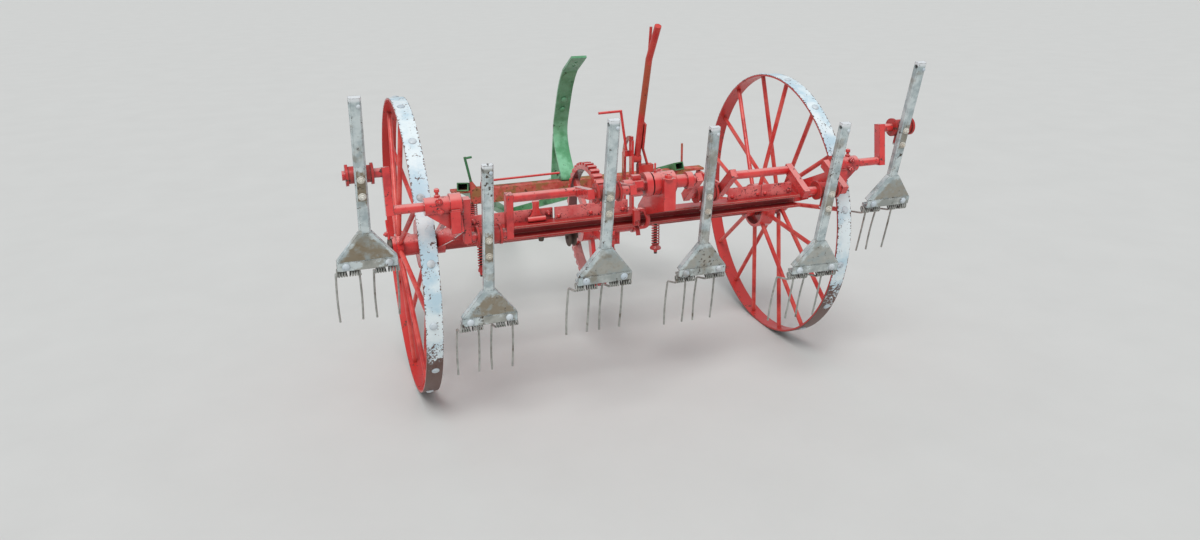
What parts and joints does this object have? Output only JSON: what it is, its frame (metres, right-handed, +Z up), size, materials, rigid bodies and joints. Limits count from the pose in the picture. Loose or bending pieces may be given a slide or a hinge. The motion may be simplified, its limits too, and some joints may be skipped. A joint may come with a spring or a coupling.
{
  "type": "hay tedder",
  "caption": "Antique kick hay tedder on two spoked iron wheels: forks hang from a crankshaft at the rear; seat leaf, hand lever, V drawbar resting on the ground.",
  "frame": {"origin": "on the floor, below the middle of the whole machine's bounding box", "axes": "+X along the axle to the machine's right, +Y forward along the drawbar, +Z up"},
  "size_m": [2.005, 2.7317, 1.2956],
  "materials": {
    "tread_paint": "satin",
    "red_paint": "satin",
    "grey_paint": "satin",
    "tine_steel": "satin",
    "green_paint": "satin",
    "bare_steel": "rough",
    "rusty_red": "rough"
  },
  "bodies": {
    "frame": {"side_frames": "red_paint", "main_bearings": "red_paint", "rear_beam": "red_paint", "guard_plates": "red_paint", "centre_bearing": "red_paint", "axle_sleeves": "red_paint", "front_rail": "rusty_red", "drawbar": "green_paint", "cross_tie": "green_paint", "seat_stand": "green_paint", "lever_stand": "red_paint", "trip_rod": "red_paint", "hanging_springs": "red_paint"},
    "axle": {"axle_shaft": "bare_steel", "ring_gear": "red_paint"},
    "wheel_left": {"tyre_left": "tread_paint", "spokes_left": "red_paint", "hub_left": "red_paint"},
    "wheel_right": {"tyre_right": "tread_paint", "spokes_right": "red_paint", "hub_right": "red_paint"},
    "crank": {"crankshaft": "red_paint", "clutch": "red_paint"},
    "lever": {"hand_lever": "red_paint"},
    "fork_1": {"fork_1_arm": "grey_paint", "fork_1_foot": "grey_paint", "fork_1_tines": "tine_steel"},
    "fork_2": {"fork_2_arm": "grey_paint", "fork_2_foot": "grey_paint", "fork_2_tines": "tine_steel"},
    "fork_3": {"fork_3_arm": "grey_paint", "fork_3_foot": "grey_paint", "fork_3_tines": "tine_steel"},
    "fork_4": {"fork_4_arm": "grey_paint", "fork_4_foot": "grey_paint", "fork_4_tines": "tine_steel"},
    "fork_5": {"fork_5_arm": "grey_paint", "fork_5_foot": "grey_paint", "fork_5_tines": "tine_steel"},
    "fork_6": {"fork_6_arm": "grey_paint", "fork_6_foot": "grey_paint", "fork_6_tines": "tine_steel"}
  },
  "joints": [
    {"name": "axle_turn", "type": "hinge", "parent": "frame", "child": "axle", "pos_m": [0.008, -0.59415, 0.5275], "axis": [1, 0, 0], "continuous": true},
    {"name": "wheel_left_turn", "type": "hinge", "parent": "axle", "child": "wheel_left", "pos_m": [-0.727, -0.59415, 0.5275], "axis": [1, 0, 0], "continuous": true},
    {"name": "wheel_right_turn", "type": "hinge", "parent": "axle", "child": "wheel_right", "pos_m": [0.743, -0.59415, 0.5275], "axis": [1, 0, 0], "continuous": true},
    {"name": "crank_turn", "type": "hinge", "parent": "frame", "child": "crank", "pos_m": [0.008, -1.15415, 0.824], "axis": [1, 0, 0], "continuous": true},
    {"name": "lever_swing", "type": "hinge", "parent": "frame", "child": "lever", "pos_m": [0.118, -0.68215, 0.793], "axis": [1, 0, 0], "range_deg": [-18, 12]},
    {"name": "fork_1_swing", "type": "hinge", "parent": "crank", "child": "fork_1", "pos_m": [-0.91, -1.1347, 0.9343], "axis": [1, 0, 0], "continuous": true},
    {"name": "fork_2_swing", "type": "hinge", "parent": "crank", "child": "fork_2", "pos_m": [-0.548, -1.14439, 0.71243], "axis": [1, 0, 0], "continuous": true},
    {"name": "fork_3_swing", "type": "hinge", "parent": "crank", "child": "fork_3", "pos_m": [-0.207, -1.26445, 0.84345], "axis": [1, 0, 0], "continuous": true},
    {"name": "fork_4_swing", "type": "hinge", "parent": "crank", "child": "fork_4", "pos_m": [0.211, -1.07092, 0.74906], "axis": [1, 0, 0], "continuous": true},
    {"name": "fork_5_swing", "type": "hinge", "parent": "crank", "child": "fork_5", "pos_m": [0.561, -1.25394, 0.77315], "axis": [1, 0, 0], "continuous": true},
    {"name": "fork_6_swing", "type": "hinge", "parent": "crank", "child": "fork_6", "pos_m": [0.926, -1.13856, 0.93491], "axis": [1, 0, 0], "continuous": true}
  ],
  "couplings": [
    {"joint": "fork_1_swing", "follows": "crank_turn", "ratio": -1},
    {"joint": "fork_2_swing", "follows": "crank_turn", "ratio": -1},
    {"joint": "fork_3_swing", "follows": "crank_turn", "ratio": -1},
    {"joint": "fork_4_swing", "follows": "crank_turn", "ratio": -1},
    {"joint": "fork_5_swing", "follows": "crank_turn", "ratio": -1},
    {"joint": "fork_6_swing", "follows": "crank_turn", "ratio": -1}
  ]
}
